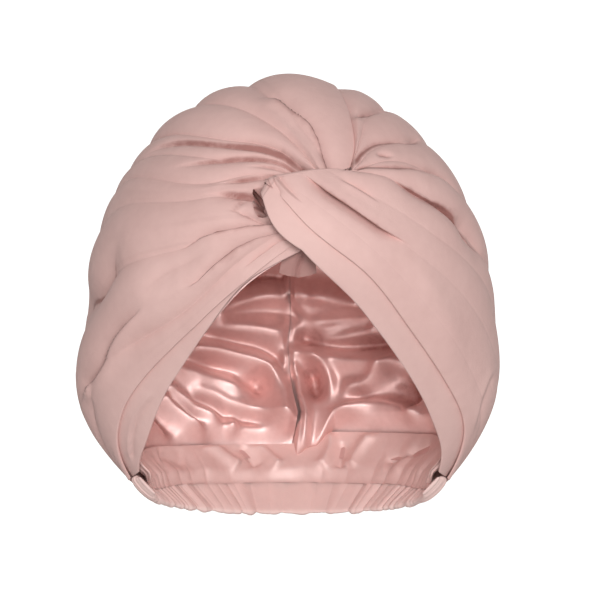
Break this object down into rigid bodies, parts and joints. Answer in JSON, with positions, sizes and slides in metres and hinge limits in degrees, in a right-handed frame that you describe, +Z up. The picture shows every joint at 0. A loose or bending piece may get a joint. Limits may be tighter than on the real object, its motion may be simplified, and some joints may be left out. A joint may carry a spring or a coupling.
{
  "type": "sleep bonnet",
  "caption": "Satin-lined turban sleep bonnet with a twisted front, fanned pleats and a gathered elastic nape, held in its worn shape.",
  "frame": {"origin": "the middle of the crown's inner face, where the top of a head touches the lining", "axes": "+Z up out of the crown, -Y towards the face opening, +X to the right as seen from the front"},
  "size_m": [0.2538, 0.2439, 0.2654],
  "materials": {
    "outer_cloth": "matte brushed knit, dusty pink",
    "gathered_casing": "matte knit gathered over elastic",
    "satin_lining": "glossy satin, rose"
  },
  "bodies": {
    "root": {"left_wrap": "outer_cloth", "right_wrap": "outer_cloth", "left_edge_band": "outer_cloth", "right_edge_band": "outer_cloth", "apex_tuck": "outer_cloth", "elastic_casing": "gathered_casing", "nape_facing": "satin_lining", "left_lining": "satin_lining", "right_lining": "satin_lining"}
  },
  "joints": []
}
